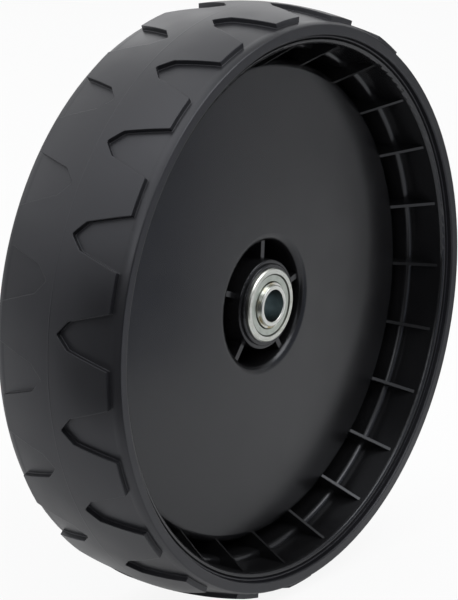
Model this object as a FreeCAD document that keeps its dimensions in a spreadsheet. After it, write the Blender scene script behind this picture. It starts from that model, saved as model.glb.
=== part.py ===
import FreeCAD, Part
import math
import os
import Sketcher

# Lawn mower wheel: a moulded rim with a dished disc, a lugged tyre shrunk on its drum, and a hub
# that runs on two shielded ball bearings with long inner rings and a spacer between them.
# Millimetres. The wheel spins about Y, its centre is the origin, and the dished face looks to -Y.
# Sections are drawn as (along Y, radius), and "near" is the dished side.

DIMENSIONS = [
    # Tyre
    ("tread_radius", 139.1, "radius at the crown of the tread"),
    ("tyre_width", 69.4, "tyre from face to face"),
    ("tyre_depth", 13.4, "crown of the tread to the drum"),
    ("crown_radius", 147.0, "radius of the crowned tread section"),
    ("shoulder_width", 4.7, "ends of the lugs to the tyre's face"),
    ("lug_height", 2.4, "lugs above the floor of the pockets"),
    ("lug_root", 1.5, "depth of the lugs' roots in the carcass"),
    ("pocket_count", 20, "tread pockets on each side"),
    ("pocket_tip_offset", 4.7, "pocket tip from the tyre's mid plane"),
    ("pocket_tip_round", 1.2, "round of a pocket's tip"),
    ("pocket_point_angle", 47.0, "sides of a pocket's point from the axial direction, degrees"),
    ("pocket_waist", 12.6, "pocket where its point ends"),
    ("pocket_taper", 17.3, "flare of a pocket's sides, degrees"),
    ("pocket_overrun", 2.0, "pocket's outline past the ends of the lugs"),
    ("tread_phase", 6.3, "turn of the tread on the rim, degrees"),
    ("shoulder_radius", 9.0, "round of the tyre's shoulder"),
    ("sidewall_drop", 7.0, "crown of the tread to the flat sidewall"),
    ("sidewall_round", 0.6, "round of the flat sidewall's edges"),
    ("bead_step", 1.8, "flat sidewall above the tyre's bore"),
    ("bead_depth", 2.4, "bead's ledge behind the flat sidewall"),
    ("bead_ledge", 1.0, "foot of the bead's wall above the tyre's bore"),
    ("bead_chamfer", 0.5, "chamfer of the bead's ledge at the lip"),
    ("seat_gap", 0.1, "radial gap between tyre and drum"),
    # Rim: drum, trough and disc
    ("lip_inset", 2.7, "rim's lips behind the tyre's faces"),
    ("drum_wall", 2.5, "wall of the drum"),
    ("groove_width", 24.2, "groove round the drum for the tyre's ridge"),
    ("groove_depth", 3.6, "depth of that groove"),
    ("lip_round", 1.8, "round of the drum's lips inside"),
    ("lip_edge_round", 0.5, "round of the drum's lips at the tyre"),
    ("ledge_round", 2.5, "round of the ledges inside the drum"),
    ("web_wall", 3.5, "wall of disc, flank and trough"),
    ("trough_width", 5.6, "trough between the drum's waist and the disc's flank"),
    ("trough_floor", -8.0, "trough floor from the mid plane, towards the dished face"),
    ("trough_round", 1.8, "round at the trough's floor"),
    ("disc_edge_height", 9.9, "disc's face at its edge, from the mid plane"),
    ("disc_hub_height", 13.5, "disc's face at the hub, from the mid plane"),
    ("disc_dome_radius", 1600.0, "radius of the disc's domed section"),
    ("disc_edge_round", 4.0, "round of the disc's edge"),
    ("gusset_count", 24, "gusset ribs in the trough"),
    ("gusset_thickness", 1.5, "thickness of a gusset"),
    ("gusset_lip_depth", 3.5, "gusset's front end behind the lip"),
    ("gusset_foot_inset", 2.0, "gusset's foot inside the disc's flank"),
    ("gusset_foot_drop", 0.5, "gusset's foot behind the disc's face"),
    ("gusset_phase", 2.0, "turn of the gussets, degrees"),
    ("back_rib_count", 12, "stiffening ribs behind the disc"),
    ("back_rib_thickness", 2.4, "thickness of a rib behind the disc"),
    ("back_rib_hub_height", 18.0, "rib height at the hub"),
    ("back_rib_edge_height", 8.0, "rib height at the flank"),
    ("rib_root", 1.0, "how far a rib is sunk in the walls that carry it"),
    # Rim: hub
    ("recess_width", 8.2, "recess between the boss and the disc"),
    ("recess_round", 4.0, "round of the disc's edge at the recess"),
    ("recess_floor", -10.0, "recess floor from the mid plane"),
    ("hub_ring_wall", 3.5, "wall round the recess"),
    ("collar_wall", 1.9, "collar round the bearing"),
    ("boss_wall", 1.8, "boss outside the collar"),
    ("collar_height", 1.3, "collar above the boss"),
    ("boss_round", 0.7, "round of the boss and collar"),
    ("hub_rib_count", 5, "ribs in the recess"),
    ("hub_rib_thickness", 2.6, "thickness of a recess rib"),
    ("hub_rib_drop", 2.8, "free edge of a recess rib behind the disc's face"),
    ("hub_rib_phase", 3.4, "turn of the recess ribs, degrees"),
    ("bearing_stop", 2.5, "step that stops a bearing in its seat"),
    # Ball bearings and spacer
    ("bearing_face", 16.9, "bearing's outer face from the mid plane"),
    ("bearing_stand", 1.5, "bearing's outer face past the collar"),
    ("bearing_bore", 15.0, "bore for the axle"),
    ("bearing_diameter", 35.0, "outer ring"),
    ("bearing_width", 11.0, "both rings without the long end"),
    ("bearing_seat_gap", 0.02, "radial gap of the bearing in its seat"),
    ("ring_chamfer", 0.6, "chamfer of the rings"),
    ("land_offset", 1.75, "lands of the rings from the balls' circle"),
    ("sleeve_step", 1.05, "long end of the inner ring below its land"),
    ("sleeve_length", 1.6, "long end past the bearing's face"),
    ("sleeve_round", 0.5, "round of the long end"),
    ("ball_count", 8, "balls in a bearing"),
    ("ball_radius", 3.0, "ball"),
    ("ball_gap", 0.15, "gap round a ball in its grooves and pockets"),
    ("cage_wall", 1.8, "radial wall of the cage"),
    ("cage_rim", 0.75, "cage beside its ball pockets"),
    ("shield_depth", 0.9, "shield's seat behind the bearing's face"),
    ("shield_wall", 0.4, "shield sheet"),
    ("shield_seat", 0.6, "step of the shield's seat in the outer ring"),
    ("shield_edge_gap", 0.05, "shield's rim inside its seat"),
    ("shield_bore_gap", 0.3, "shield's bore round the inner ring"),
    ("spacer_wall", 2.5, "wall of the spacer tube"),
]

# Sizes that follow from the driving ones and are used by more than one piece.
HALF_TYRE = "(params.tyre_width / 2)"
HALF_BAND = "(params.tyre_width / 2 - params.shoulder_width)"
SEAT_RADIUS = "(params.tread_radius - params.tyre_depth)"
GROOVE_RADIUS = f"({SEAT_RADIUS} - params.groove_depth)"
COLLAR_END = "(params.bearing_face - params.bearing_stand)"
BEARING_RADIUS = "(params.bearing_diameter / 2)"
BORE_RADIUS = "(params.bearing_bore / 2)"
BEARING_INSIDE = "(params.bearing_face - params.bearing_width)"
BALL_CIRCLE = "((params.bearing_bore + params.bearing_diameter) / 4)"

MATCH = 1e-4          # tolerance when an edge is looked up by its place

doc = FreeCAD.newDocument("mower_wheel")
sheet = doc.addObject("Spreadsheet::Sheet", "params")
for row, (alias, number, note) in enumerate(DIMENSIONS, start=1):
    sheet.set(f"A{row}", note)
    sheet.set(f"B{row}", str(number))
    sheet.setAlias(f"B{row}", alias)
doc.recompute()


def value(expression):
    """Number that an expression gives with the sheet's present cells."""
    result = sheet.evalExpression(str(expression))
    return float(getattr(result, "Value", result))


def origin_feature(body, role):
    """Origin plane or axis of a body, by its role."""
    return next(f for f in body.Origin.OriginFeatures if f.Role == role)


def new_body(label):
    """Empty body whose label names its file."""
    body = doc.addObject("PartDesign::Body", label)
    body.Label = label
    return body


def new_sketch(body, name, role, phase=None):
    """Sketch on an origin plane, turned about the wheel's axis by an angle expression."""
    sketch = body.newObject("Sketcher::SketchObject", name)
    sketch.AttachmentSupport = [(origin_feature(body, role), "")]
    sketch.MapMode = "FlatFace"
    if phase is not None:
        turn_axis = FreeCAD.Vector(1, 0, 0) if role == "YZ_Plane" else FreeCAD.Vector(0, 1, 0)
        sketch.AttachmentOffset = FreeCAD.Placement(FreeCAD.Vector(), FreeCAD.Rotation(turn_axis, 1))
        sketch.setExpression("AttachmentOffset.Rotation.Angle", f"({phase}) * 1 deg")
    return sketch


def arc_between(start, end, radius, side):
    """Shorter arc between two points, stored anticlockwise.

    With side +1 it bulges to the left of the way from start to end, and with -1 to the right.
    """
    chord = end - start
    left = FreeCAD.Vector(-chord.y, chord.x, 0).normalize()
    reach = math.sqrt(radius**2 - (chord.Length / 2) ** 2)
    centre = (start + end) * 0.5 - left * (side * reach)
    first, last = (end, start) if side > 0 else (start, end)
    angles = [math.atan2(point.y - centre.y, point.x - centre.x) for point in (first, last)]
    return Part.ArcOfCircle(Part.Circle(centre, FreeCAD.Vector(0, 0, 1), radius), *angles)


def draw_outline(sketch, points, arcs=None):
    """Closed outline through points given as expression pairs; arcs maps a segment to (radius, side)."""
    arcs = arcs or {}
    corners = [FreeCAD.Vector(value(h), value(v), 0) for h, v in points]
    first_ends = []
    for index, corner in enumerate(corners):
        after = corners[(index + 1) % len(corners)]
        if index in arcs:
            radius, side = arcs[index]
            geometry = sketch.addGeometry(arc_between(corner, after, value(radius), side))
            forward = side < 0
        else:
            geometry = sketch.addGeometry(Part.LineSegment(corner, after))
            forward = True
        first_ends.append((geometry, 1 if forward else 2))
    for index, (geometry, start_end) in enumerate(first_ends):
        after_geometry, after_end = first_ends[(index + 1) % len(first_ends)]
        sketch.addConstraint(
            Sketcher.Constraint("Coincident", geometry, 3 - start_end, after_geometry, after_end))
        for kind, expression in zip(("DistanceX", "DistanceY"), points[index]):
            place = Sketcher.Constraint(kind, -1, 1, geometry, start_end, value(expression))
            bind(sketch, place, expression)
        if index in arcs:
            radius = arcs[index][0]
            bind(sketch, Sketcher.Constraint("Radius", geometry, value(radius)), radius)


def bind(sketch, constraint, expression):
    """Adds a constraint and drives it by an expression."""
    number = sketch.addConstraint(constraint)
    sketch.setExpression(f"Constraints[{number}]", str(expression))


def revolve(body, name, points, arcs=None):
    """Solid of revolution about Y from a section in (along Y, radius)."""
    sketch = new_sketch(body, name + "_section", "YZ_Plane")
    draw_outline(sketch, points, arcs)
    feature = body.newObject("PartDesign::Revolution", name)
    feature.Profile = sketch
    feature.ReferenceAxis = (sketch, ["H_Axis"])
    feature.Angle = 360
    doc.recompute()
    return feature


def pattern(body, feature, count):
    """Repeats a feature evenly round Y."""
    repeat = body.newObject("PartDesign::PolarPattern", feature.Name + "_ring")
    repeat.Originals = [feature]
    repeat.Axis = (origin_feature(body, "Y_Axis"), [""])
    repeat.Angle = 360
    repeat.setExpression("Occurrences", count)
    body.Tip = repeat
    doc.recompute()
    return repeat


def rib_ring(body, name, points, thickness, count, phase):
    """Thin ribs that stand in planes through the axis, evenly spaced."""
    sketch = new_sketch(body, name + "_outline", "YZ_Plane", phase)
    draw_outline(sketch, points)
    pad = body.newObject("PartDesign::Pad", name)
    pad.Profile = sketch
    pad.SideType = "Symmetric"
    pad.setExpression("Length", thickness)
    doc.recompute()
    return pattern(body, pad, count)


def radial_cut_ring(body, name, draw, count, phase=None):
    """Cuts an outline of the XY plane radially outwards, evenly spaced round Y."""
    volume_before = body.Shape.Volume
    sketch = new_sketch(body, name + "_outline", "XY_Plane", phase)
    draw(sketch)
    pocket = body.newObject("PartDesign::Pocket", name)
    pocket.Profile = sketch
    pocket.Type = "ThroughAll"
    pocket.Reversed = True
    doc.recompute()
    if body.Shape.Volume >= volume_before:
        raise RuntimeError(f"{name} cuts nothing")
    return pattern(body, pocket, count)


def round_rings(body, name, feature, rings, radius):
    """Rounds the circular edges at the given (along Y, radius) places."""
    names = [ring_edge(feature, value(along), value(ring_radius)) for along, ring_radius in rings]
    return round_edges(body, name, feature, names, radius)


def round_edges(body, name, feature, edges, radius):
    """Rounds the named edges of a feature."""
    fillet = body.newObject("PartDesign::Fillet", name)
    fillet.Base = (feature, edges)
    fillet.setExpression("Radius", radius)
    doc.recompute()
    return fillet


def ring_edge(feature, along, radius):
    """Name of the circular edge about Y at a place and radius."""
    for number, edge in enumerate(feature.Shape.Edges, start=1):
        curve = edge.Curve
        if not isinstance(curve, Part.Circle) or abs(curve.Radius - radius) > MATCH:
            continue
        if abs(curve.Center.y - along) < MATCH:
            return f"Edge{number}"
    raise RuntimeError(f"{feature.Name} has no ring at {along}, {radius}")


def mirrored(points):
    """Section points in reverse order with the axial direction turned round."""
    return [(f"-({along})", radius) for along, radius in reversed(points)]


def build_tyre():
    """Tyre: a band of lugs with pointed pockets over a carcass with a locating ridge inside."""
    body = new_body("tyre")
    crown_drop = f"(params.crown_radius - sqrt(params.crown_radius ^ 2 - {HALF_BAND} ^ 2))"
    lug_end = f"params.tread_radius - {crown_drop}"
    lug_root = f"{lug_end} - params.lug_height - params.lug_root"
    revolve(body, "lug_band", [
        (f"-{HALF_BAND}", lug_root),
        (f"-{HALF_BAND}", lug_end),
        (HALF_BAND, lug_end),
        (HALF_BAND, lug_root),
    ], {1: ("params.crown_radius", +1)})

    def pocket_outline(side):
        tip = "params.pocket_tip_round"
        half_tip = f"({tip} * cos(params.pocket_point_angle * 1 deg))"
        tip_end = f"(params.pocket_tip_offset + {tip} * (1 - sin(params.pocket_point_angle * 1 deg)))"
        half_waist = "(params.pocket_waist / 2)"
        waist = f"({tip_end} + ({half_waist} - {half_tip}) / tan(params.pocket_point_angle * 1 deg))"
        mouth = f"({HALF_BAND} + params.pocket_overrun)"
        half_mouth = f"({half_waist} + ({mouth} - {waist}) * tan(params.pocket_taper * 1 deg))"
        points = [
            (f"-{half_mouth}", f"{side} * {mouth}"),
            (f"-{half_waist}", f"{side} * {waist}"),
            (f"-{half_tip}", f"{side} * {tip_end}"),
            (half_tip, f"{side} * {tip_end}"),
            (half_waist, f"{side} * {waist}"),
            (half_mouth, f"{side} * {mouth}"),
        ]
        return lambda sketch: draw_outline(sketch, points, {2: (tip, -side)})

    radial_cut_ring(body, "near_pocket", pocket_outline(-1), "params.pocket_count")
    half_pitch = "180 / params.pocket_count"
    radial_cut_ring(body, "far_pocket", pocket_outline(+1), "params.pocket_count", half_pitch)

    floor_radius = "(params.crown_radius - params.lug_height)"
    floor_drop = f"({floor_radius} - sqrt({floor_radius} ^ 2 - {HALF_BAND} ^ 2))"
    floor_end = f"params.tread_radius - params.lug_height - {floor_drop}"
    bore = f"({SEAT_RADIUS} + params.seat_gap)"
    ridge = f"({GROOVE_RADIUS} + params.seat_gap)"
    half_ridge = "(params.groove_width / 2 - params.seat_gap)"
    sidewall = "(params.tread_radius - params.sidewall_drop)"
    bead = f"({bore} + params.bead_step)"
    bead_end = f"({HALF_TYRE} - params.bead_depth)"
    far_half = [
        (HALF_BAND, floor_end),
        (HALF_TYRE, sidewall),
        (HALF_TYRE, bead),
        (bead_end, f"{bore} + params.bead_ledge"),
        (bead_end, f"{bore} + params.bead_chamfer"),
        (f"{bead_end} - params.bead_chamfer", bore),
        (half_ridge, bore),
        (half_ridge, ridge),
    ]
    section = far_half + mirrored(far_half)
    last = len(section) - 1
    carcass = revolve(body, "carcass", section, {
        0: ("params.shoulder_radius", +1),
        last - 1: ("params.shoulder_radius", +1),
        last: (floor_radius, +1),
    })
    round_rings(body, "sidewall_edges", carcass, [
        (f"-{HALF_TYRE}", sidewall), (HALF_TYRE, sidewall),
        (f"-{HALF_TYRE}", bead), (HALF_TYRE, bead)], "params.sidewall_round")
    body.Placement = FreeCAD.Placement(FreeCAD.Vector(), FreeCAD.Rotation(FreeCAD.Vector(0, 1, 0), 1))
    body.setExpression("Placement.Rotation.Angle", "params.tread_phase * 1 deg")
    return body


def build_rim():
    """Rim: drum, trough with gussets, domed disc and ribbed hub, moulded in one piece."""
    body = new_body("wheel_rim")
    half_rim = f"({HALF_TYRE} - params.lip_inset)"
    half_groove = "(params.groove_width / 2)"
    drum = f"({SEAT_RADIUS} - params.drum_wall)"
    ledge = f"({half_groove} + params.drum_wall)"
    waist = f"({GROOVE_RADIUS} - params.drum_wall)"
    trough_back = "(-params.trough_floor + params.web_wall)"
    flank = f"({waist} - params.trough_width)"
    flank_inside = f"({flank} - params.web_wall)"
    collar = f"({BEARING_RADIUS} + params.collar_wall)"
    boss = f"({collar} + params.boss_wall)"
    boss_end = f"({COLLAR_END} - params.collar_height)"
    recess = f"({boss} + params.recess_width)"
    recess_back = "(-params.recess_floor + params.web_wall)"
    ring_outside = f"({recess} + params.hub_ring_wall)"
    seat = f"({BEARING_RADIUS} + params.bearing_seat_gap)"
    stop = f"({BEARING_RADIUS} - params.bearing_stop)"
    section = [
        (f"-{half_rim}", SEAT_RADIUS),
        (f"-{half_groove}", SEAT_RADIUS),
        (f"-{half_groove}", GROOVE_RADIUS),
        (half_groove, GROOVE_RADIUS),
        (half_groove, SEAT_RADIUS),
        (half_rim, SEAT_RADIUS),
        (half_rim, drum),
        (ledge, drum),
        (ledge, waist),
        (trough_back, waist),
        (trough_back, flank_inside),
        ("params.web_wall - params.disc_edge_height", flank_inside),
        ("params.web_wall - params.disc_hub_height", ring_outside),
        (recess_back, ring_outside),
        (recess_back, collar),
        (COLLAR_END, collar),
        (COLLAR_END, seat),
        (BEARING_INSIDE, seat),
        (BEARING_INSIDE, stop),
        (f"-{BEARING_INSIDE}", stop),
        (f"-{BEARING_INSIDE}", seat),
        (f"-{COLLAR_END}", seat),
        (f"-{COLLAR_END}", collar),
        (f"-{boss_end}", collar),
        (f"-{boss_end}", boss),
        ("-params.recess_floor", boss),
        ("-params.recess_floor", recess),
        ("-params.disc_hub_height", recess),
        ("-params.disc_edge_height", flank),
        ("-params.trough_floor", flank),
        ("-params.trough_floor", waist),
        (f"-{ledge}", waist),
        (f"-{ledge}", drum),
        (f"-{half_rim}", drum),
    ]
    dome = "params.disc_dome_radius"
    turned = revolve(body, "turned_form", section, {11: (dome, -1), 27: (dome, +1)})
    rounded = round_rings(body, "disc_edge", turned, [
        ("-params.disc_edge_height", flank)], "params.disc_edge_round")
    rounded = round_rings(body, "recess_edge", rounded, [
        ("-params.disc_hub_height", recess)], "params.recess_round")
    rounded = round_rings(body, "lips", rounded, [
        (f"-{half_rim}", drum), (half_rim, drum)], "params.lip_round")
    rounded = round_rings(body, "lip_edges", rounded, [
        (f"-{half_rim}", SEAT_RADIUS), (half_rim, SEAT_RADIUS)], "params.lip_edge_round")
    rounded = round_rings(body, "ledges", rounded, [
        (f"-{ledge}", waist), (ledge, waist)], "params.ledge_round")
    rounded = round_rings(body, "trough_corners", rounded, [
        ("-params.trough_floor", flank), ("-params.trough_floor", waist)], "params.trough_round")
    round_rings(body, "boss_edges", rounded, [
        (f"-{boss_end}", boss), (f"-{COLLAR_END}", collar)], "params.boss_round")

    root = "params.rib_root"
    lip_end = f"({half_rim} - params.gusset_lip_depth)"
    foot = f"({flank} - params.gusset_foot_inset)"
    foot_end = "(params.disc_edge_height - params.gusset_foot_drop)"
    slope = f"(({lip_end} - {foot_end}) / ({drum} - {foot}))"
    rib_ring(body, "gusset", [
        (f"-({lip_end} + {slope} * {root})", f"{drum} + {root}"),
        (f"-({ledge} - {root})", f"{drum} + {root}"),
        (f"-({ledge} - {root})", f"{waist} + {root}"),
        (f"-params.trough_floor + {root}", f"{waist} + {root}"),
        (f"-params.trough_floor + {root}", f"{flank} - {root}"),
        (f"-({foot_end} - {slope} * {root})", f"{foot} - {root}"),
    ], "params.gusset_thickness", "params.gusset_count", "params.gusset_phase")
    rib_end = "(params.disc_hub_height - params.hub_rib_drop)"
    rib_ring(body, "hub_rib", [
        (f"-{rib_end}", f"{boss} - {root}"),
        (f"-{rib_end}", f"{recess} + {root}"),
        (f"-params.recess_floor + {root}", f"{recess} + {root}"),
        (f"-params.recess_floor + {root}", f"{boss} - {root}"),
    ], "params.hub_rib_thickness", "params.hub_rib_count", "params.hub_rib_phase")
    back_hub = "(params.web_wall - params.disc_hub_height)"
    back_edge = "(params.web_wall - params.disc_edge_height)"
    rib_ring(body, "back_rib", [
        (f"{back_hub} - {root}", f"{ring_outside} - {root}"),
        (f"{back_edge} - {root}", f"{flank_inside} + {root}"),
        (f"{back_edge} + params.back_rib_edge_height", f"{flank_inside} + {root}"),
        (f"{back_hub} + params.back_rib_hub_height", f"{ring_outside} - {root}"),
    ], "params.back_rib_thickness", "params.back_rib_count", "params.gusset_phase")
    return body


def place_in_hub(piece, side):
    """Puts a piece that is drawn about its bearing's centre in the near (-1) or far (+1) seat."""
    turn = 0 if side < 0 else 180
    piece.Placement = FreeCAD.Placement(
        FreeCAD.Vector(), FreeCAD.Rotation(FreeCAD.Vector(0, 0, 1), turn))
    piece.setExpression(
        "Placement.Base.y", f"{side} * (params.bearing_face - params.bearing_width / 2)")


def build_bearing(side_name, side):
    """Ball bearing with a long inner ring, two pressed shields and a caged set of balls."""
    half_width = "params.bearing_width / 2"
    chamfer = "params.ring_chamfer"
    outer_land = f"({BALL_CIRCLE} + params.land_offset)"
    inner_land = f"({BALL_CIRCLE} - params.land_offset)"
    sleeve = f"({inner_land} - params.sleeve_step)"
    raceway = "(params.ball_radius + params.ball_gap)"
    shield_seat = f"({half_width} - params.shield_depth)"
    shield_rim = f"({outer_land} + params.shield_seat)"
    pieces = []

    groove_edge = f"sqrt({raceway} ^ 2 - params.land_offset ^ 2)"
    far_half = [
        (f"{half_width} - {chamfer}", BEARING_RADIUS),
        (half_width, f"{BEARING_RADIUS} - {chamfer}"),
        (half_width, shield_rim),
        (shield_seat, shield_rim),
        (shield_seat, outer_land),
        (groove_edge, outer_land),
    ]
    body = new_body(f"{side_name}_outer_race")
    section = far_half + mirrored(far_half)
    revolve(body, f"{side_name}_outer_ring", section, {len(far_half) - 1: (raceway, -1)})
    pieces.append(body)

    sleeve_end = f"({half_width} + params.sleeve_length)"
    rounding = "params.sleeve_round"
    body = new_body(f"{side_name}_inner_race")
    revolve(body, f"{side_name}_inner_ring", [
        (f"-{sleeve_end} + {rounding}", BORE_RADIUS),
        (f"-{sleeve_end}", f"{BORE_RADIUS} + {rounding}"),
        (f"-{sleeve_end}", f"{sleeve} - {rounding}"),
        (f"-{sleeve_end} + {rounding}", sleeve),
        (f"-{half_width}", sleeve),
        (f"-{half_width}", inner_land),
        (f"-{groove_edge}", inner_land),
        (groove_edge, inner_land),
        (half_width, inner_land),
        (half_width, BORE_RADIUS),
    ], {0: (rounding, +1), 2: (rounding, +1), 6: (raceway, -1)})
    pieces.append(body)

    for shield_name, face in (("outer", -1), ("inner", +1)):
        bore = f"({inner_land} + params.shield_bore_gap)"
        rim = f"({shield_rim} - params.shield_edge_gap)"
        front = f"({shield_seat} + params.shield_wall)"
        points = [
            (front, rim),
            (front, f"{bore} + params.shield_wall"),
            (shield_seat, bore),
            (f"{shield_seat} - params.shield_wall", bore),
            (shield_seat, f"{bore} + params.shield_wall"),
            (shield_seat, rim),
        ]
        body = new_body(f"{side_name}_{shield_name}_shield")
        section = points if face > 0 else mirrored(points)
        revolve(body, f"{side_name}_{shield_name}_plate", section)
        pieces.append(body)

    half_cage = f"({raceway} + params.cage_rim)"
    cage_inside = f"{BALL_CIRCLE} - params.cage_wall / 2"
    cage_outside = f"{BALL_CIRCLE} + params.cage_wall / 2"
    body = new_body(f"{side_name}_cage")
    revolve(body, f"{side_name}_cage_ring", [
        (f"-{half_cage}", cage_inside),
        (f"-{half_cage}", cage_outside),
        (half_cage, cage_outside),
        (half_cage, cage_inside),
    ])

    def ball_hole(sketch):
        circle = Part.Circle(FreeCAD.Vector(), FreeCAD.Vector(0, 0, 1), value(raceway))
        hole = sketch.addGeometry(circle)
        sketch.addConstraint(Sketcher.Constraint("Coincident", hole, 3, -1, 1))
        bind(sketch, Sketcher.Constraint("Radius", hole, value(raceway)), raceway)

    radial_cut_ring(body, f"{side_name}_ball_pocket", ball_hole, "params.ball_count")
    pieces.append(body)

    for number in range(int(value("params.ball_count"))):
        ball = doc.addObject("Part::Sphere", f"{side_name}_ball_{number + 1}")
        ball.setExpression("Radius", "params.ball_radius")
        angle = f"{number} * 360 deg / params.ball_count"
        ball.setExpression("Placement.Base.x", f"{BALL_CIRCLE} * sin({angle})")
        ball.setExpression("Placement.Base.z", f"{BALL_CIRCLE} * cos({angle})")
        pieces.append(ball)

    for piece in pieces:
        place_in_hub(piece, side)
    return pieces


def build_spacer():
    """Tube that keeps the two inner rings apart on the axle."""
    body = new_body("bearing_spacer")
    outside = f"({BORE_RADIUS} + params.spacer_wall)"
    revolve(body, "spacer_tube", [
        (f"-{BEARING_INSIDE}", BORE_RADIUS),
        (f"-{BEARING_INSIDE}", outside),
        (BEARING_INSIDE, outside),
        (BEARING_INSIDE, BORE_RADIUS),
    ])
    return body


pieces = [build_tyre(), build_rim(), build_spacer()]
pieces += build_bearing("near", -1)
pieces += build_bearing("far", +1)
doc.recompute()

for item in doc.Objects:
    if "Invalid" in item.State or "Error" in item.State:
        raise RuntimeError(f"{item.Name} failed: {item.State}")
for piece in pieces:
    if piece.Shape.isNull() or not piece.Shape.isValid() or len(piece.Shape.Solids) != 1:
        raise RuntimeError(f"{piece.Label} is not one valid solid")

os.makedirs("parts", exist_ok=True)
for piece in pieces:
    piece.Shape.exportStep(f"parts/{piece.Label}.step")
    print(f"{piece.Label}: {piece.Shape.Volume / 1000:.2f} cm3")
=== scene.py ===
"""Looks of the lawn mower wheel: finishes for every piece, a plain studio and the photograph's camera."""
import logging
import math
from dataclasses import dataclass, field
from enum import Enum

import bpy
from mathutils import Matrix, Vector


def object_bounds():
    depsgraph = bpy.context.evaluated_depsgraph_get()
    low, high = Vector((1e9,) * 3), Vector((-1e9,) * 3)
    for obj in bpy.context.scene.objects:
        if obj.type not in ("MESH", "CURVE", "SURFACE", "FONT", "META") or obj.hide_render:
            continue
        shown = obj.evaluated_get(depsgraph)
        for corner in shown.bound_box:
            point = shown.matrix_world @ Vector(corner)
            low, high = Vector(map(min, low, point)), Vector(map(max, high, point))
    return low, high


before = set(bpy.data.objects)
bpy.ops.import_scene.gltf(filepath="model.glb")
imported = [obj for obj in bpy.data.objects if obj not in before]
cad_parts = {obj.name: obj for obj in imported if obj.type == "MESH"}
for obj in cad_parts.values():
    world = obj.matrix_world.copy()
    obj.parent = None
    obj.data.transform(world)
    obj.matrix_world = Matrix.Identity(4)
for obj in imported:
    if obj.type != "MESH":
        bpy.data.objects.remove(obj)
CAD_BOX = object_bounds()

LOG = logging.getLogger("mower_wheel")
MM = 0.001                        # metres in a millimetre; the frame is in metres
WHITE = "#ffffff"
PLAIN_SPECULAR = 0.5              # the Principled shader's own specular level
MIX_A, MIX_B, MIX_OUT = 6, 7, 2   # a Mix node's two colour inputs and its colour output, by number
MOTTLE_SPAN = (0.3, 0.7)          # range that the mottling's noise mostly keeps to
RING_SPAN = (0.25, 0.75)          # the same for the noise of the turning marks
FILM_SPAN = (0.45, 0.7)           # noise at which the oil film starts and at which it is full
BEVEL_SAMPLES = 6                 # rays that find the rounded edge at each point


class Side(Enum):
    """The two ends of the hub, by the name that their bearing's nodes start with."""

    NEAR = "near"
    FAR = "far"


class Ray(Enum):
    """Kinds of ray that see the white backdrop instead of the lit floor."""

    CAMERA = "Is Camera Ray"
    GLOSSY = "Is Glossy Ray"
    TRANSMISSION = "Is Transmission Ray"


def linear(hex_code: str) -> tuple[float, float, float, float]:
    """Turns an sRGB hex colour to linear RGBA.

    Args:
        hex_code: Colour such as "#c0c4c8".

    Returns:
        Linear red, green, blue and an alpha of one.
    """
    channels = [int(hex_code[start:start + 2], 16) / 255 for start in (1, 3, 5)]
    light = [c / 12.92 if c <= 0.04045 else ((c + 0.055) / 1.055) ** 2.4 for c in channels]
    return (*light, 1.0)


def add_node(tree: bpy.types.NodeTree, kind: str, settings: dict[str, object],
             feeds: dict[str | int, object]) -> bpy.types.Node:
    """Adds one node with its settings and links.

    Args:
        tree: Node tree that takes the node.
        kind: Blender's name of the node type.
        settings: Properties of the node itself.
        feeds: For each named or numbered input, the output that feeds it or a plain value.

    Returns:
        The new node.
    """
    made = tree.nodes.new(kind)
    for name, setting in settings.items():
        setattr(made, name, setting)
    for key, feed in feeds.items():
        if isinstance(feed, bpy.types.NodeSocket):
            tree.links.new(feed, made.inputs[key])
        else:
            made.inputs[key].default_value = feed
    return made


def new_material(name: str) -> tuple[bpy.types.Material, bpy.types.NodeTree]:
    """Makes an empty node material.

    Args:
        name: The real material's name.

    Returns:
        The material and its node tree, with no nodes in it.
    """
    material = bpy.data.materials.new(name)
    material.use_nodes = True
    material.node_tree.nodes.clear()
    return material, material.node_tree


def per_metre(size_mm: float) -> float:
    """Texture scale that gives a pattern of the given size, since coordinates are in metres."""
    return 1 / (size_mm * MM)


def radius_from_axle(tree: bpy.types.NodeTree, place: bpy.types.NodeSocket) -> bpy.types.NodeSocket:
    """Works out how far a point lies from the axle's axis.

    Args:
        tree: Node tree of the material.
        place: Output that holds the point's Object coordinates.

    Returns:
        Output that holds the distance, in metres.
    """
    across = add_node(tree, "ShaderNodeVectorMath", {"operation": "MULTIPLY"}, {
        0: place, 1: (1.0, 0.0, 1.0)})
    length = add_node(tree, "ShaderNodeVectorMath", {"operation": "LENGTH"}, {
        0: across.outputs["Vector"]})
    return length.outputs["Value"]


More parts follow.
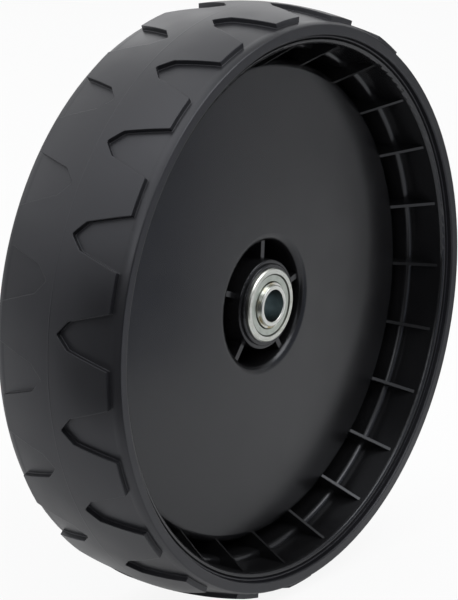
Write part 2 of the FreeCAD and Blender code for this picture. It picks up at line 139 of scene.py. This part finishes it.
@dataclass(frozen=True)
class MouldedPolymer:
    """Black moulded polymer: satin sheen, faint flow mottling, fine grain, the turned mould's marks and
    narrow bands of painted shade.

    Attributes:
        name: Common name of the material.
        colour: sRGB colour of the compound.
        bloom: sRGB colour where a thin grey bloom lies on it.
        sheen_tint: sRGB tint that the surface gives its reflections.
        roughness: Mean roughness.
        roughness_spread: How far the mottling moves the roughness.
        ior: Index of refraction.
        mottle_mm: Size of the mottling.
        grain_mm: Size of the mould's grain.
        grain_height_mm: Height of that grain.
        tool_pitch_mm: Pitch of the turned mould's tool marks.
        tool_height_mm: Height of those marks.
        edge_mm: Radius that the mould leaves on sharp edges and in corners, 0 where the solid has it.
        parting_width_mm: Width of the line where the mould's halves meet, at the mid plane.
        parting_height_mm: Height of that line, 0 where the mould parts elsewhere.
        painted_shade_bands_mm: Pairs of radii between which the sheen is cut away as painted shade, where
            the tyre meets the rim and on the tyre bead's inner wall.
        painted_shade_depth: How much of the sheen that painted shade takes away.
    """

    name: str
    colour: str
    bloom: str
    sheen_tint: str
    roughness: float
    roughness_spread: float
    ior: float
    mottle_mm: float
    grain_mm: float
    grain_height_mm: float
    tool_pitch_mm: float
    tool_height_mm: float
    edge_mm: float = 0.0
    parting_width_mm: float = 1.0
    parting_height_mm: float = 0.0
    painted_shade_bands_mm: tuple[tuple[float, float], ...] = ()
    painted_shade_depth: float = 0.92

    def material(self) -> bpy.types.Material:
        """Builds the node material.

        Returns:
            The finished material.
        """
        material, tree = new_material(self.name)
        place = add_node(tree, "ShaderNodeTexCoord", {}, {}).outputs["Object"]
        mottle = add_node(tree, "ShaderNodeTexNoise", {}, {
            "Vector": place, "Scale": per_metre(self.mottle_mm), "Detail": 1.0})
        colour = add_node(tree, "ShaderNodeMix", {"data_type": "RGBA"}, {
            "Factor": mottle.outputs["Fac"], MIX_A: linear(self.colour), MIX_B: linear(self.bloom)})
        roughness = add_node(tree, "ShaderNodeMapRange", {}, {
            "Value": mottle.outputs["Fac"], "From Min": MOTTLE_SPAN[0], "From Max": MOTTLE_SPAN[1],
            "To Min": self.roughness - self.roughness_spread,
            "To Max": self.roughness + self.roughness_spread})
        grain = add_node(tree, "ShaderNodeTexNoise", {}, {
            "Vector": place, "Scale": per_metre(self.grain_mm), "Detail": 2.0})
        edges: dict[str | int, object] = {}
        if self.edge_mm:
            rounded = add_node(tree, "ShaderNodeBevel", {"samples": BEVEL_SAMPLES}, {
                "Radius": self.edge_mm * MM})
            edges["Normal"] = rounded.outputs["Normal"]
        surface = add_node(tree, "ShaderNodeBump", {}, {
            "Strength": 1.0, "Distance": self.grain_height_mm * MM, "Height": grain.outputs["Fac"],
            **edges})
        radius = radius_from_axle(tree, place)
        along = add_node(tree, "ShaderNodeSeparateXYZ", {}, {0: place}).outputs["Y"]
        turned = add_node(tree, "ShaderNodeMath", {"operation": "ADD"}, {0: radius, 1: along})
        marks = add_node(tree, "ShaderNodeTexNoise", {"noise_dimensions": "1D"}, {
            "W": turned.outputs[0], "Scale": per_metre(self.tool_pitch_mm), "Detail": 1.0})
        surface = add_node(tree, "ShaderNodeBump", {}, {
            "Strength": 1.0, "Distance": self.tool_height_mm * MM,
            "Height": marks.outputs["Fac"], "Normal": surface.outputs["Normal"]})
        if self.parting_height_mm:
            off_middle = add_node(tree, "ShaderNodeMath", {"operation": "ABSOLUTE"}, {0: along})
            line = add_node(tree, "ShaderNodeMapRange", {"interpolation_type": "SMOOTHSTEP"}, {
                "Value": off_middle.outputs[0], "From Min": 0.0,
                "From Max": self.parting_width_mm / 2 * MM, "To Min": 1.0, "To Max": 0.0})
            surface = add_node(tree, "ShaderNodeBump", {}, {
                "Strength": 1.0, "Distance": self.parting_height_mm * MM,
                "Height": line.outputs["Result"], "Normal": surface.outputs["Normal"]})
        # Painted shade: in each band of radius the specular level is cut, so that the joint between tyre
        # and rim and the bead's inner wall render dark instead of mirroring the bright surroundings.
        sheen: bpy.types.NodeSocket | float = PLAIN_SPECULAR
        for start, end in self.painted_shade_bands_mm:
            in_shaded_band = add_node(tree, "ShaderNodeMath", {"operation": "COMPARE"}, {
                0: radius, 1: (start + end) / 2 * MM, 2: (end - start) / 2 * MM})
            sheen = add_node(tree, "ShaderNodeMath", {"operation": "MULTIPLY_ADD"}, {
                0: in_shaded_band.outputs[0], 1: -PLAIN_SPECULAR * self.painted_shade_depth, 2: sheen}).outputs[0]
        shader = add_node(tree, "ShaderNodeBsdfPrincipled", {}, {
            "Base Color": colour.outputs[MIX_OUT], "Roughness": roughness.outputs["Result"],
            "IOR": self.ior, "Specular IOR Level": sheen, "Specular Tint": linear(self.sheen_tint),
            "Normal": surface.outputs["Normal"]})
        add_node(tree, "ShaderNodeOutputMaterial", {}, {"Surface": shader.outputs["BSDF"]})
        return material


@dataclass(frozen=True)
class TurnedSteel:
    """Bright steel with fine rings from turning or grinding about the wheel's axis.

    Attributes:
        name: Common name of the material.
        colour: sRGB colour of the clean metal.
        stain: sRGB colour of the thin oil film that lies on it in patches.
        stain_share: How much of the stain's colour the patches take.
        roughness: Mean roughness.
        roughness_spread: How far the rings and patches move the roughness.
        ring_pitch_mm: Pitch of the turning marks.
        ring_height_mm: Height of those marks.
        patch_mm: Size of the film's patches.
        film_end_mm: Distance from the mid plane past which there is no film, 0 for film all over.
        bore_mm: Radius of the bore, 0 where the piece has none to tell apart.
        bore_colour: sRGB colour of the metal in that bore.
        painted_shade_radius_mm: Radius past which a dark ring of painted shade lies, where a shield sits
            down in its race's recess, 0 where there is none.
        painted_shade_colour: sRGB colour of that painted shade.
        painted_shade_fade_mm: Width over which the painted shade fades in.
    """

    name: str
    colour: str
    stain: str
    stain_share: float
    roughness: float
    roughness_spread: float
    ring_pitch_mm: float
    ring_height_mm: float
    patch_mm: float
    film_end_mm: float = 0.0
    bore_mm: float = 0.0
    bore_colour: str = "#000000"
    painted_shade_radius_mm: float = 0.0
    painted_shade_colour: str = "#000000"
    painted_shade_fade_mm: float = 0.3

    def material(self) -> bpy.types.Material:
        """Builds the node material.

        Returns:
            The finished material.
        """
        material, tree = new_material(self.name)
        place = add_node(tree, "ShaderNodeTexCoord", {}, {}).outputs["Object"]
        radius = radius_from_axle(tree, place)
        rings = add_node(tree, "ShaderNodeTexNoise", {"noise_dimensions": "1D"}, {
            "W": radius, "Scale": per_metre(self.ring_pitch_mm), "Detail": 2.0})
        patches = add_node(tree, "ShaderNodeTexNoise", {}, {
            "Vector": place, "Scale": per_metre(self.patch_mm), "Detail": 4.0})
        film = add_node(tree, "ShaderNodeMapRange", {}, {
            "Value": patches.outputs["Fac"], "From Min": FILM_SPAN[0], "From Max": FILM_SPAN[1],
            "To Min": 0.0, "To Max": self.stain_share}).outputs["Result"]
        if self.film_end_mm:
            along = add_node(tree, "ShaderNodeSeparateXYZ", {}, {0: place}).outputs["Y"]
            off_middle = add_node(tree, "ShaderNodeMath", {"operation": "ABSOLUTE"}, {0: along})
            covered = add_node(tree, "ShaderNodeMath", {"operation": "LESS_THAN"}, {
                0: off_middle.outputs[0], 1: self.film_end_mm * MM})
            film = add_node(tree, "ShaderNodeMath", {"operation": "MULTIPLY"}, {
                0: film, 1: covered.outputs[0]}).outputs[0]
        colour = add_node(tree, "ShaderNodeMix", {"data_type": "RGBA"}, {
            "Factor": film, MIX_A: linear(self.colour), MIX_B: linear(self.stain)})
        if self.bore_mm:
            inside = add_node(tree, "ShaderNodeMath", {"operation": "LESS_THAN"}, {
                0: radius, 1: self.bore_mm * MM})
            colour = add_node(tree, "ShaderNodeMix", {"data_type": "RGBA"}, {
                "Factor": inside.outputs[0], MIX_A: colour.outputs[MIX_OUT],
                MIX_B: linear(self.bore_colour)})
        # Painted shade: a dark ring at the outer edge, where the piece sits down in the race's recess.
        if self.painted_shade_radius_mm:
            painted_shade_mask = add_node(tree, "ShaderNodeMapRange", {"interpolation_type": "SMOOTHSTEP"}, {
                "Value": radius, "From Min": self.painted_shade_radius_mm * MM,
                "From Max": (self.painted_shade_radius_mm + self.painted_shade_fade_mm) * MM, "To Min": 0.0, "To Max": 1.0})
            colour = add_node(tree, "ShaderNodeMix", {"data_type": "RGBA"}, {
                "Factor": painted_shade_mask.outputs["Result"], MIX_A: colour.outputs[MIX_OUT],
                MIX_B: linear(self.painted_shade_colour)})
        roughness = add_node(tree, "ShaderNodeMapRange", {}, {
            "Value": rings.outputs["Fac"], "From Min": RING_SPAN[0], "From Max": RING_SPAN[1],
            "To Min": self.roughness - self.roughness_spread,
            "To Max": self.roughness + self.roughness_spread})
        surface = add_node(tree, "ShaderNodeBump", {}, {
            "Strength": 1.0, "Distance": self.ring_height_mm * MM, "Height": rings.outputs["Fac"]})
        shader = add_node(tree, "ShaderNodeBsdfPrincipled", {}, {
            "Base Color": colour.outputs[MIX_OUT], "Metallic": 1.0,
            "Roughness": roughness.outputs["Result"], "Normal": surface.outputs["Normal"]})
        add_node(tree, "ShaderNodeOutputMaterial", {}, {"Surface": shader.outputs["BSDF"]})
        return material


# The grain, tool marks and turning rings of all finishes are drawn several times coarser than real ones,
# which are too fine to show in the picture.

# Glass-filled polypropylene from a turned and polished mould: a satin black with a soft wide highlight,
# and painted shade on the lip's outer edge where the tyre meets it.
RIM_PLASTIC = MouldedPolymer(
    name="moulded_black_polypropylene", colour="#0e0e0f", bloom="#131314", sheen_tint="#e6e9f0",
    roughness=0.25, roughness_spread=0.02, ior=1.49, mottle_mm=18.0, grain_mm=0.9,
    grain_height_mm=0.003, tool_pitch_mm=1.4, tool_height_mm=0.003, painted_shade_bands_mm=((125.3, 126.0),))
# Vulcanised rubber with a slight blue-grey bloom: duller than the rim, with a coarser grain, and painted
# shade at its bore and on its bead's inner wall.
TREAD_RUBBER = MouldedPolymer(
    name="vulcanised_black_rubber", colour="#111113", bloom="#17171a", sheen_tint="#f0f2fa",
    roughness=0.38, roughness_spread=0.04, ior=1.5, mottle_mm=24.0, grain_mm=1.1,
    grain_height_mm=0.008, tool_pitch_mm=0.9, tool_height_mm=0.01, edge_mm=0.7,
    parting_width_mm=0.9, parting_height_mm=0.05, painted_shade_bands_mm=((125.0, 126.25), (126.75, 127.3)))
# Ground bearing steel: pale and bright, with rings that stretch its reflections.
RING_STEEL = TurnedSteel(
    name="ground_bearing_steel", colour="#c4c6c1", stain="#a9aba0", stain_share=0.7, roughness=0.3,
    roughness_spread=0.06, ring_pitch_mm=0.5, ring_height_mm=0.004, patch_mm=3.0)
# Turned sleeve of the inner ring: golden preserving oil at its foot, a darker, bluer grey inside its
# bore.
SLEEVE_STEEL = TurnedSteel(
    name="turned_oiled_steel", colour="#c8cac6", stain="#8f7c46", stain_share=0.9, roughness=0.24,
    roughness_spread=0.05, ring_pitch_mm=0.5, ring_height_mm=0.004, patch_mm=5.0, film_end_mm=17.4,
    bore_mm=7.55, bore_colour="#b0b8b8")
# Zinc-plated sheet of the shields: duller and greener than the rings, with painted shade as a dark ring
# at its outer edge, where it is crimped into the race.
SHIELD_STEEL = TurnedSteel(
    name="zinc_plated_sheet_steel", colour="#b4b9b2", stain="#9fa69d", stain_share=0.6, roughness=0.36,
    roughness_spread=0.05, ring_pitch_mm=0.7, ring_height_mm=0.003, patch_mm=2.5, painted_shade_radius_mm=14.0,
    painted_shade_colour="#3c3d38")
# Drawn tube of the spacer, plain and slightly grey.
SPACER_STEEL = TurnedSteel(
    name="drawn_steel_tube", colour="#8a969c", stain="#757d80", stain_share=0.4, roughness=0.38,
    roughness_spread=0.05, ring_pitch_mm=0.8, ring_height_mm=0.004, patch_mm=4.0)
# Pressed steel of the cages, greased and darker than the rings.
CAGE_STEEL = TurnedSteel(
    name="pressed_cage_steel", colour="#9a9b9c", stain="#8a7c58", stain_share=0.5, roughness=0.34,
    roughness_spread=0.05, ring_pitch_mm=0.6, ring_height_mm=0.003, patch_mm=2.0)
# Lapped chrome steel of the balls, close to a mirror.
BALL_STEEL = TurnedSteel(
    name="lapped_chrome_steel", colour="#dcdddd", stain="#c9c4b4", stain_share=0.2, roughness=0.08,
    roughness_spread=0.02, ring_pitch_mm=0.4, ring_height_mm=0.0005, patch_mm=2.0)


def dress(node: str, material: bpy.types.Material) -> None:
    """Gives a CAD node its finish and reports it.

    Args:
        node: Name of the node.
        material: Finish for all of it.
    """
    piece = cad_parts[node]
    if not piece.material_slots:
        piece.data.materials.append(material)
    for slot in piece.material_slots:
        slot.material = material
    LOG.info("%s: %s", node, material.name)


@dataclass
class Tyre:
    """The lugged rubber tyre.

    Attributes:
        node: Name of its CAD node.
        rubber: Its finish.
    """

    node: str = "tyre"
    rubber: MouldedPolymer = TREAD_RUBBER

    def dress(self) -> None:
        """Gives the tyre its rubber."""
        dress(self.node, self.rubber.material())


@dataclass
class Rim:
    """The one-piece rim: drum, trough with gussets, disc and hub.

    Attributes:
        node: Name of its CAD node.
        plastic: Its finish.
    """

    node: str = "wheel_rim"
    plastic: MouldedPolymer = RIM_PLASTIC

    def dress(self) -> None:
        """Gives the rim its plastic."""
        dress(self.node, self.plastic.material())


@dataclass
class Hub:
    """The two ball bearings and the spacer between them.

    Attributes:
        ball_count: Balls in each bearing.
        finishes: The finish of each other kind of piece in a bearing, by the end of its node's name.
        ball_finish: The balls' finish.
        spacer_node: Name of the spacer's CAD node.
        spacer_finish: The spacer's finish.
    """

    ball_count: int = 8
    finishes: dict[str, TurnedSteel] = field(default_factory=lambda: {
        "outer_race": RING_STEEL, "inner_race": SLEEVE_STEEL, "outer_shield": SHIELD_STEEL,
        "inner_shield": SHIELD_STEEL, "cage": CAGE_STEEL})
    ball_finish: TurnedSteel = BALL_STEEL
    spacer_node: str = "bearing_spacer"
    spacer_finish: TurnedSteel = SPACER_STEEL

    def dress(self) -> None:
        """Gives each ring, shield, cage, ball and the spacer its steel, each steel made once."""
        kinds = dict.fromkeys((*self.finishes.values(), self.ball_finish, self.spacer_finish))
        made = {finish: finish.material() for finish in kinds}
        for side in Side:
            for kind, finish in self.finishes.items():
                dress(f"{side.value}_{kind}", made[finish])
            for number in range(1, self.ball_count + 1):
                dress(f"{side.value}_ball_{number}", made[self.ball_finish])
        dress(self.spacer_node, made[self.spacer_finish])


def direction(azimuth: float, elevation: float) -> Vector:
    """Unit vector from the wheel's centre.

    Args:
        azimuth: Degrees round the wheel, 0 towards -Y and 90 towards +X.
        elevation: Degrees above the horizon.

    Returns:
        The direction.
    """
    turn, rise = math.radians(azimuth), math.radians(elevation)
    return Vector((math.sin(turn) * math.cos(rise), -math.cos(turn) * math.cos(rise), math.sin(rise)))


@dataclass(frozen=True)
class Softbox:
    """A square diffused lamp that points at the wheel.

    Attributes:
        name: Name of the lamp.
        azimuth: Bearing round the wheel in degrees, 0 in front of the dished face, 90 to +X.
        elevation: Height above the horizon in degrees.
        distance: From the wheel's centre, in metres.
        width: Side of the square, in metres.
        power: Watts.
    """

    name: str
    azimuth: float
    elevation: float
    distance: float
    width: float
    power: float

    def place(self) -> None:
        """Adds the lamp to the scene."""
        towards = direction(self.azimuth, self.elevation)
        bpy.ops.object.light_add(type="AREA", location=towards * self.distance)
        lamp = bpy.context.object
        lamp.name = self.name
        lamp.rotation_euler = towards.to_track_quat("Z", "Y").to_euler()
        lamp.data.size = self.width
        lamp.data.energy = self.power


@dataclass(frozen=True)
class Flag:
    """A card that stands on the floor facing the wheel, seen only where a glossy face mirrors it.

    Attributes:
        name: Name of the card.
        azimuth: Bearing round the wheel in degrees, as for a lamp.
        distance: From the wheel's axis, in metres.
        width: Of the card, in metres.
        height: Of the card, in metres.
        colour: sRGB colour of the card.
    """

    name: str
    azimuth: float
    distance: float
    width: float
    height: float
    colour: str

    def place(self) -> None:
        """Adds the card to the scene."""
        towards = direction(self.azimuth, 0.0)
        middle = towards * self.distance
        middle.z = CAD_BOX[0].z + self.height / 2
        bpy.ops.object.select_all(action="DESELECT")
        bpy.ops.mesh.primitive_plane_add(size=1.0, location=middle)
        card = bpy.context.object
        card.name = self.name
        card.rotation_euler = towards.to_track_quat("Z", "Y").to_euler()
        card.scale = (self.width, self.height, 1.0)
        bpy.ops.object.transform_apply(location=True, rotation=True, scale=True)
        material, tree = new_material(f"{self.name}_card")
        face = add_node(tree, "ShaderNodeBsdfDiffuse", {}, {"Color": linear(self.colour)})
        add_node(tree, "ShaderNodeOutputMaterial", {}, {"Surface": face.outputs[0]})
        card.data.materials.append(material)
        card.visible_camera = False
        card.visible_diffuse = False
        card.visible_shadow = False


@dataclass
class Studio:
    """Pale floor, even surroundings, soft lamps and the photograph's camera.

    Attributes:
        azimuth: Camera's bearing round the wheel, degrees.
        elevation: Camera's height above the horizon, degrees.
        distance: Camera from the wheel's plane of view, metres.
        aim_right: How far right of the wheel's centre the camera aims, metres.
        aim_up: How far above it, metres.
        lens_mm: Focal length.
        sensor_mm: Sensor's size along the picture's long side.
        floor_width: Side of the floor, metres.
        floor_colour: sRGB colour of the floor.
        backdrop_share: How much of the floor's and walls' look to the camera is plain white backdrop.
        mirror_share: The same for faces that mirror them.
        surround_colour: sRGB colour of the even surroundings.
        surround_level: Strength of the surroundings.
        flags: The cards that shape what the black pieces mirror.
        lamps: The soft lamps.
    """

    azimuth: float = -52.87
    elevation: float = 15.2
    distance: float = 1.2859
    aim_right: float = -0.00617
    aim_up: float = -0.00019
    lens_mm: float = 165.0
    sensor_mm: float = 36.0
    floor_width: float = 14.0
    floor_colour: str = "#e2e2e2"
    backdrop_share: float = 0.9
    mirror_share: float = 0.4
    surround_colour: str = "#f4f6fa"
    surround_level: float = 0.35
    flags: tuple[Flag, ...] = (
        Flag("front_flag", azimuth=16.0, distance=0.36, width=0.36, height=0.4, colour="#adb1bd"),
        Flag("side_flag", azimuth=90.0, distance=0.26, width=0.22, height=0.3, colour="#101010"),
        Flag("left_flag", azimuth=-80.0, distance=0.3, width=0.34, height=0.25, colour="#707070"),
        Flag("near_flag", azimuth=-34.0, distance=0.27, width=0.2, height=0.25, colour="#2a2a2a"),
        Flag("far_flag", azimuth=58.0, distance=0.95, width=0.8, height=0.45, colour="#d8d8d8"),
    )
    lamps: tuple[Softbox, ...] = (
        Softbox("key_lamp", azimuth=10.0, elevation=50.0, distance=1.6, width=1.2, power=17.0),
        Softbox("fill_lamp", azimuth=-75.0, elevation=25.0, distance=2.0, width=1.2, power=8.0),
        Softbox("sky_lamp", azimuth=-150.0, elevation=55.0, distance=1.9, width=3.0, power=21.0),
        Softbox("top_lamp", azimuth=-105.0, elevation=70.0, distance=1.6, width=1.2, power=4.6),
        Softbox("back_lamp", azimuth=132.0, elevation=32.0, distance=2.0, width=1.4, power=6.0),
    )

    def build(self) -> None:
        """Builds the whole studio."""
        self.lay_floor()
        for flag in self.flags:
            flag.place()
        self.light()
        self.place_camera()

    def lay_floor(self) -> None:
        """Lays the floor under the tread; it keeps the shadow and is near white to the camera."""
        bpy.ops.object.select_all(action="DESELECT")
        bpy.ops.mesh.primitive_plane_add(size=self.floor_width, location=(0, 0, CAD_BOX[0].z))
        floor = bpy.context.object
        floor.name = "studio_floor"
        bpy.ops.object.transform_apply(location=True, rotation=False, scale=False)
        material, tree = new_material("matt_white_paper")
        paper = add_node(tree, "ShaderNodeBsdfDiffuse", {}, {"Color": linear(self.floor_colour)})
        white = add_node(tree, "ShaderNodeEmission", {}, {"Strength": 1.0})
        blend = add_node(tree, "ShaderNodeMixShader", {}, {
            0: self.white_share(tree), 1: paper.outputs[0], 2: white.outputs[0]})
        add_node(tree, "ShaderNodeOutputMaterial", {}, {"Surface": blend.outputs[0]})
        floor.data.materials.append(material)

    def white_share(self, tree: bpy.types.NodeTree) -> bpy.types.NodeSocket:
        """Works out how much of a stage surface's look is plain white backdrop, by the kind of ray.

        Args:
            tree: Node tree of the floor's paper or of the walls.

        Returns:
            Output that holds the share.
        """
        path = add_node(tree, "ShaderNodeLightPath", {}, {})
        share = add_node(tree, "ShaderNodeMath", {"operation": "MULTIPLY"}, {
            0: path.outputs[Ray.CAMERA.value], 1: self.backdrop_share})
        for ray in (Ray.GLOSSY, Ray.TRANSMISSION):
            mirrored = add_node(tree, "ShaderNodeMath", {"operation": "MULTIPLY"}, {
                0: path.outputs[ray.value], 1: self.mirror_share})
            share = add_node(tree, "ShaderNodeMath", {"operation": "MAXIMUM"}, {
                0: share.outputs[0], 1: mirrored.outputs[0]})
        return share.outputs[0]

    def light(self) -> None:
        """Sets the surroundings and places the lamps."""
        scene = bpy.context.scene
        scene.view_settings.view_transform = "Standard"
        world = bpy.data.worlds.new("studio_walls")
        world.use_nodes = True
        world.node_tree.nodes.clear()
        tree = world.node_tree
        walls = add_node(tree, "ShaderNodeBackground", {}, {
            "Color": linear(self.surround_colour), "Strength": self.surround_level})
        white = add_node(tree, "ShaderNodeBackground", {}, {"Color": linear(WHITE)})
        blend = add_node(tree, "ShaderNodeMixShader", {}, {
            0: self.white_share(tree), 1: walls.outputs[0], 2: white.outputs[0]})
        add_node(tree, "ShaderNodeOutputWorld", {}, {"Surface": blend.outputs[0]})
        scene.world = world
        for lamp in self.lamps:
            lamp.place()

    def place_camera(self) -> None:
        """Puts the camera where the photograph was taken from."""
        back = direction(self.azimuth, self.elevation)
        right = Vector((-back.y, back.x, 0)).normalized()
        up = back.cross(right)
        aim = right * self.aim_right + up * self.aim_up
        bpy.ops.object.camera_add(location=aim + back * self.distance)
        camera = bpy.context.object
        camera.name = "photo_camera"
        camera.rotation_euler = back.to_track_quat("Z", "Y").to_euler()
        camera.data.sensor_width = self.sensor_mm
        camera.data.lens = self.lens_mm
        bpy.context.scene.camera = camera


def main() -> None:
    """Dresses the wheel and builds the studio."""
    logging.basicConfig(level=logging.INFO, format="%(name)s %(message)s")
    bpy.ops.object.select_all(action="DESELECT")
    Tyre().dress()
    Rim().dress()
    Hub().dress()
    Studio().build()


if __name__ == "__main__":
    main()
